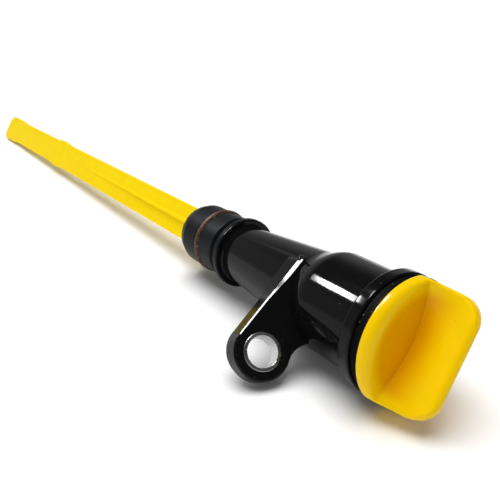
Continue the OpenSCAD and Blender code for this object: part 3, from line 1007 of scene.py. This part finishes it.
def black_moulding():
    """Glossy black moulding, satin on the spigot that goes into the engine."""
    finish = settings("finish")
    made, tree, shader = new_material("black_moulding")
    surface = place_group(tree, moulded_skin, {"Wave Size": 240.0, "Grain Size": 2400.0, "Grain Share": 0.2})
    speck_mask = place_group(tree, dust_and_glint_specks, {"Speck Size": 900.0, "Amount": 0.05})["Mask"]
    height = offset_along(tree, neck_place().translation, AXIS)[1]
    glossy = ramp(tree, height, -0.0022, 0.0004)
    base = mix_colours(tree, glossy, finish.slate, finish.black)
    specked_base = mix_colours(tree, speck_mask, base, (0.05, 0.05, 0.055))
    rough = reckon(tree, "ADD", ramp(tree, glossy, 0.0, 1.0, 0.36, 0.07), speck_mask)
    mottled = reckon(tree, "MULTIPLY_ADD", surface["Mottle"], 0.02, rough)
    finish_surface(tree, shader, specked_base, mottled, surface["Height"], 0.08)
    # Less is mirrored towards the outline, and on the satin spigot
    facing = add(tree, "ShaderNodeLayerWeight", {"Blend": 0.5}).outputs["Facing"]
    gloss = ramp(tree, facing, 0.5, 0.85, 0.11, 0.06)
    level = reckon(tree, "MULTIPLY", gloss, ramp(tree, glossy, 0.0, 1.0, 0.55, 1.0))
    tree.links.new(level, shader["Specular IOR Level"])
    return made


def thick_part(tree):
    """Mask of painted shade on the cap's face and at the fin's foot, where shade falls in the crease, fading up the
    fin and towards the cap's edge.
    """
    cap = settings("cap")
    fade_h, fade_out, fade_in = 0.009, 0.002, 0.0055
    offset, height = offset_along(tree, CAP_SEAT, AXIS)
    aside = add(tree, "ShaderNodeVectorMath", {0: offset, 1: tuple(AXIS)}, operation="CROSS_PRODUCT").outputs[0]
    radius = add(tree, "ShaderNodeVectorMath", {0: aside}, operation="LENGTH").outputs["Value"]
    edge = cap.width / 2
    low = ramp(tree, height, cap.edge_h, cap.edge_h + fade_h, 1.0, 0.0, "SMOOTHSTEP")
    inner = ramp(tree, radius, edge - fade_in, edge - fade_out, 1.0, 0.0, "SMOOTHSTEP")
    return reckon(tree, "MULTIPLY", low, inner)


def yellow_plastic(name, tint, rough, gloss, wave, deep=None):
    """Satin gloss yellow moulding with a little light let into it, and, where a shade colour is given, a painted
    shade: a deeper orange on the cap's face and at the fin's foot.
    """
    made, tree, shader = new_material(name)
    surface = place_group(tree, moulded_skin, {"Wave Size": wave, "Grain Size": 3200.0, "Grain Share": 0.35})
    speck_mask = place_group(tree, dust_and_glint_specks, {"Speck Size": 620.0, "Amount": 0.05})["Mask"]
    base = mix_colours(tree, surface["Mottle"], scaled(tint, 0.975), tint)
    if deep:
        # Painted shade: the deeper orange goes on the cap's face and the fin's foot
        base = mix_colours(tree, thick_part(tree), base, deep)
    specked_base = mix_colours(tree, speck_mask, base, scaled(tint, 0.8))
    uneven = ramp(tree, surface["Mottle"], 0.0, 1.0, rough, rough + 0.05)
    finish_surface(tree, shader, specked_base, uneven, surface["Height"], 0.15)
    shader["Specular IOR Level"].default_value = gloss
    shader["Subsurface Weight"].default_value = 0.1
    shader["Subsurface Radius"].default_value = (0.0012, 0.0006, 0.0001)
    shader["Subsurface Scale"].default_value = 1.0
    return made


def bush_steel():
    """Turned steel with fine rings round the bush's axis."""
    steel = settings("finish").steel
    made, tree, shader = new_material("bush_steel")
    offset, along = offset_along(tree, BOLT_HOLE, EAR_FACING)
    reach = add(tree, "ShaderNodeVectorMath", {0: offset}, operation="LENGTH").outputs["Value"]
    rings = {"W": reckon(tree, "ADD", reach, along), "Scale": 9000.0, "Detail": 2.0}
    streaks = add(tree, "ShaderNodeTexNoise", rings, noise_dimensions="1D").outputs["Fac"]
    surface = place_group(tree, moulded_skin, {"Wave Size": 500.0, "Grain Size": 3000.0, "Grain Share": 0.5})
    base = mix_colours(tree, streaks, scaled(steel, 0.82), steel)
    rough = ramp(tree, surface["Mottle"], 0.0, 1.0, 0.24, 0.34)
    finish_surface(tree, shader, base, rough, streaks, 0.25, 0.00005)
    shader["Metallic"].default_value = 1.0
    return made


def rubber(name, tint, rough, gloss, speck_amount, dark=0.8, wave=700.0):
    """Matte rubber with a fine grain, darker in spots, and pale specks: specks of dirt, and where many are asked
    for, as on the O-ring, painted glints as well.
    """
    made, tree, shader = new_material(name)
    surface = place_group(tree, moulded_skin, {"Wave Size": wave, "Grain Size": 4200.0, "Grain Share": 0.5})
    speck_mask = place_group(tree, dust_and_glint_specks, {"Speck Size": 1500.0, "Amount": speck_amount})["Mask"]
    base = mix_colours(tree, surface["Mottle"], scaled(tint, dark), scaled(tint, 1.15))
    # Pale specks: dirt, and with a large amount, painted glints
    specked_base = mix_colours(tree, speck_mask, base, (0.4, 0.36, 0.32))
    uneven = ramp(tree, surface["Mottle"], 0.0, 1.0, rough, rough + 0.1)
    finish_surface(tree, shader, specked_base, uneven, surface["Height"], 0.3)
    shader["Specular IOR Level"].default_value = gloss
    return made


def pale_floor():
    made, _, shader = new_material("pale_floor")
    shader["Base Color"].default_value = (*settings("finish").floor, 1)
    shader["Roughness"].default_value = 0.9
    shader["Specular IOR Level"].default_value = 0.0
    return made


# Operators, one for each piece and one for the stage

class DIPSTICK_OT_filler_neck(bpy.types.Operator):
    """Builds the black filler neck with its spigot, barrel, rim, lugs and fixing ear"""

    bl_idname = "dipstick.filler_neck"
    bl_label = "Filler Neck"

    def execute(self, context):
        neck = turned_solid("filler_neck_skin", rounded(neck_outline(), closed=False))
        combine(neck, ear_solid(), "UNION")
        combine(neck, turned_solid("bore", rounded(bore_outline(), closed=False)), "DIFFERENCE")
        for lug in lug_solids():
            combine(neck, lug, "UNION")
        set_down(neck, neck_place(), black_moulding(), "neck", "filler_neck")
        return {"FINISHED"}


class DIPSTICK_OT_mounting_bush(bpy.types.Operator):
    """Builds the steel bush in the ear"""

    bl_idname = "dipstick.mounting_bush"
    bl_label = "Mounting Bush"

    def execute(self, context):
        ear = settings("ear")
        half = ear.thick / 2 + ear.bush_proud
        bore = ear.bush_bore / 2
        outer = bore + ear.bush_wall
        outline = rounded([
            (bore, -half, 0.00025),
            (outer, -half, 0.0002),
            (outer, half, 0.0002),
            (bore, half, 0.00025),
        ], steps=4)
        bush = turned_solid("mounting_bush_skin", outline, 128)
        set_down(bush, ear_place(), bush_steel(), "neck", "mounting_bush")
        return {"FINISHED"}


class DIPSTICK_OT_spigot_o_ring(bpy.types.Operator):
    """Builds the brown O-ring in the spigot's groove"""

    bl_idname = "dipstick.spigot_o_ring"
    bl_label = "Spigot O-Ring"

    def execute(self, context):
        neck = settings("neck")
        section = neck.ring_section / 2
        middle = neck.land_d / 2 + neck.ring_proud - section
        floor = middle - section + 0.0001
        height = -neck.collar_t - neck.ring_pos
        steps = 40
        turns = [math.tau * k / steps for k in range(steps)]
        outline = [(max(floor, middle + section * math.cos(a)), height + section * math.sin(a)) for a in turns]
        ring = turned_solid("spigot_o_ring_skin", outline)
        # The many pale specks on the O-ring are painted glints, with some dirt
        made = rubber("brown_rubber", settings("finish").brown, 0.5, 0.25, 0.6, dark=0.05, wave=1400.0)
        set_down(ring, neck_place(), made, "neck", "spigot_o_ring", weighted=False)
        return {"FINISHED"}


class DIPSTICK_OT_twist_cap(bpy.types.Operator):
    """Builds the yellow twist cap with its grip fin, skirt and bayonet lugs"""

    bl_idname = "dipstick.twist_cap"
    bl_label = "Twist Cap"

    def execute(self, context):
        finish = settings("finish")
        # The cap gets a painted shade in the crease round the fin's foot
        made = yellow_plastic("yellow_cap", finish.cap, 0.16, 0.11, 180.0, finish.deep)
        set_down(cap_solid(), grip_place(), made, "cap", "twist_cap", weighted=False)
        return {"FINISHED"}


class DIPSTICK_OT_cap_seal(bpy.types.Operator):
    """Builds the black rubber ring between the rim and the cap"""

    bl_idname = "dipstick.cap_seal"
    bl_label = "Cap Seal"

    def execute(self, context):
        neck = settings("neck")
        cap = settings("cap")
        seal = settings("seal")
        outer = cap.width / 2 - seal.inset
        inner = neck.mouth_d / 2 - cap.run_gap
        top = neck.cap_seat
        low = top - seal.height
        middle = (top + low) / 2
        outline = rounded([
            (inner, low, 0.0003),
            (outer - 0.0005, low, 0.0005),
            (outer - seal.groove, middle - 0.0002, 0.0004),
            (outer - seal.groove, middle + 0.0002, 0.0004),
            (outer, top - 0.0008, 0.0004),
            (outer - 0.0002, top, 0.0002),
            (inner, top, 0.0003),
        ])
        ring = turned_solid("cap_seal_skin", outline)
        made = rubber("black_rubber", settings("finish").rubber, 0.5, 0.03, 0.15)
        set_down(ring, neck_place(), made, "cap", "cap_seal")
        return {"FINISHED"}


class DIPSTICK_OT_dipstick_blade(bpy.types.Operator):
    """Builds the yellow measuring blade"""

    bl_idname = "dipstick.dipstick_blade"
    bl_label = "Dipstick Blade"

    def execute(self, context):
        made = yellow_plastic("yellow_blade", settings("finish").blade, 0.35, 0.03, 260.0)
        set_down(blade_solid(), grip_place(), made, "stick", "dipstick_blade")
        return {"FINISHED"}


def direction(azimuth, elevation):
    """Unit vector towards an azimuth and an elevation."""
    level = math.cos(elevation)
    return Vector((math.cos(azimuth) * level, math.sin(azimuth) * level, math.sin(elevation)))


def broad_light(name, azimuth, elevation, spread, strength):
    """Even light from far off, soft over a spread in degrees, and left out of mirrored views."""
    data = bpy.data.lights.new(name, "SUN")
    data.energy = strength
    data.angle = math.radians(spread)
    lamp = bpy.data.objects.new(name, data)
    towards = direction(math.radians(azimuth), math.radians(elevation))
    lamp.rotation_euler = towards.to_track_quat("Z", "Y").to_euler()
    lamp.visible_glossy = False
    bpy.context.scene.collection.objects.link(lamp)


def area_lamp(name, azimuth, elevation, width, height, power, roll=0, in_gloss=True, in_diffuse=True):
    """Rectangular lamp a metre away that faces the barrel, seen from there at angles in degrees."""
    low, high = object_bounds()
    barrel = Vector((high.x - 0.034, (low.y + high.y) / 2 - 0.002, 0.028))
    towards = direction(math.radians(azimuth), math.radians(elevation))
    data = bpy.data.lights.new(name, "AREA")
    data.shape = "RECTANGLE"
    data.size = width
    data.size_y = height
    data.energy = power
    lamp = bpy.data.objects.new(name, data)
    facing = towards.to_track_quat("Z", "Y").to_matrix().to_4x4()
    turn = Matrix.Rotation(math.radians(roll), 4, "Z")
    lamp.matrix_world = Matrix.Translation(barrel + towards) @ facing @ turn
    lamp.visible_glossy = in_gloss
    lamp.visible_diffuse = in_diffuse
    bpy.context.scene.collection.objects.link(lamp)


def studio_world():
    """Soft even surroundings. Mirrored views see them pale at the horizon and behind the object, dark elsewhere."""
    world = bpy.data.worlds.new("studio")
    world.use_nodes = True
    tree = world.node_tree
    lit = tree.nodes["Background"]
    where = add(tree, "ShaderNodeTexCoord").outputs["Generated"]
    parts = add(tree, "ShaderNodeSeparateXYZ", {0: where}).outputs
    behind = ramp(tree, parts["X"], 0.1, -0.6, kind="SMOOTHSTEP")
    low = ramp(tree, parts["Z"], 0.72, 0.35, kind="SMOOTHSTEP")
    wall = ramp(tree, reckon(tree, "MULTIPLY", behind, low), 0.0, 1.0, 0.06, 0.55)
    horizon = ramp(tree, parts["Z"], 0.015, 0.1, 1.0, 0.0, "SMOOTHSTEP")
    path = add(tree, "ShaderNodeLightPath").outputs
    mirrored = reckon(tree, "MAXIMUM", wall, horizon)
    bright = reckon(tree, "MAXIMUM", mirrored, path["Is Camera Ray"])
    seen = add(tree, "ShaderNodeBackground", {"Strength": bright})
    for background in (lit, seen):
        background.inputs["Color"].default_value = (1, 1, 1, 1)
    lit.inputs["Strength"].default_value = 0.28
    direct = reckon(tree, "MAXIMUM", path["Is Camera Ray"], path["Is Glossy Ray"])
    shown = reckon(tree, "MAXIMUM", direct, path["Is Transmission Ray"])
    mixed = add(tree, "ShaderNodeMixShader", {0: shown, 1: lit.outputs[0], 2: seen.outputs[0]})
    tree.links.new(mixed.outputs[0], tree.nodes["World Output"].inputs["Surface"])
    bpy.context.scene.world = world


class DIPSTICK_OT_stage(bpy.types.Operator):
    """Sets the pale floor, the soft lamps and the camera"""

    bl_idname = "dipstick.stage"
    bl_label = "Stage"

    def execute(self, context):
        stage = settings("stage")
        floor_r = 6.0
        bm = bmesh.new()
        bmesh.ops.create_circle(bm, cap_ends=True, segments=96, radius=floor_r)
        floor = solid("floor", bm)
        floor.data.materials.append(pale_floor())
        floor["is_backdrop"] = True
        studio_world()
        broad_light("top_light", -155, 80, 55, stage.sun_power)
        area_lamp("streak_lamp", -151, 38.4, 0.164, 0.062, stage.streak_power, roll=-38.5, in_diffuse=False)
        area_lamp("edge_lamp", -157, 56.5, 0.26, 0.17, stage.edge_power, in_diffuse=False)
        area_lamp("fill_lamp", -80, 6, 0.8, 0.24, stage.fill_power, in_gloss=False)
        data = bpy.data.cameras.new("camera")
        data.lens = stage.lens
        data.sensor_width = 36
        data.clip_start = 0.01
        camera = bpy.data.objects.new("camera", data)
        back = direction(stage.camera_azimuth, stage.camera_elevation)
        right = Vector((0, 0, 1)).cross(back).normalized()
        level = columns(right, back.cross(right), back, Vector(stage.camera_at))
        camera.matrix_world = level @ Matrix.Rotation(stage.camera_roll, 4, "Z")
        context.scene.collection.objects.link(camera)
        context.scene.camera = camera
        context.scene.view_settings.view_transform = "Standard"
        return {"FINISHED"}


class DIPSTICK_PT_pieces(bpy.types.Panel):
    """Lists the pieces and their sizes"""

    bl_idname = "DIPSTICK_PT_pieces"
    bl_label = "Engine Oil Dipstick"
    bl_space_type = "VIEW_3D"
    bl_region_type = "UI"
    bl_category = "Dipstick"

    def draw(self, context):
        for operator in OPERATORS:
            self.layout.operator(operator.bl_idname)
        for name, group in SETTINGS.items():
            box = self.layout.box()
            box.label(text=group.__doc__)
            for key in group.__annotations__:
                box.prop(getattr(context.scene, name), key)


OPERATORS = (
    DIPSTICK_OT_stage,
    DIPSTICK_OT_filler_neck,
    DIPSTICK_OT_mounting_bush,
    DIPSTICK_OT_spigot_o_ring,
    DIPSTICK_OT_cap_seal,
    DIPSTICK_OT_twist_cap,
    DIPSTICK_OT_dipstick_blade,
)


def register():
    for made in (*SETTINGS.values(), *OPERATORS, DIPSTICK_PT_pieces):
        bpy.utils.register_class(made)
    for name, group in SETTINGS.items():
        setattr(bpy.types.Scene, name, PointerProperty(type=group))


def unregister():
    for name in SETTINGS:
        delattr(bpy.types.Scene, name)
    for made in (*SETTINGS.values(), *OPERATORS, DIPSTICK_PT_pieces):
        bpy.utils.unregister_class(made)


def corners(box):
    return [list(corner) for corner in box]


def main():
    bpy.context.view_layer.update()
    register()
    bpy.ops.dipstick.stage()
    bpy.ops.dipstick.filler_neck()
    bpy.ops.dipstick.mounting_bush()
    bpy.ops.dipstick.spigot_o_ring()
    bpy.ops.dipstick.cap_seal()
    bpy.ops.dipstick.twist_cap()
    bpy.ops.dipstick.dipstick_blade()
    bpy.context.view_layer.update()


if __name__ == "__main__":
    main()
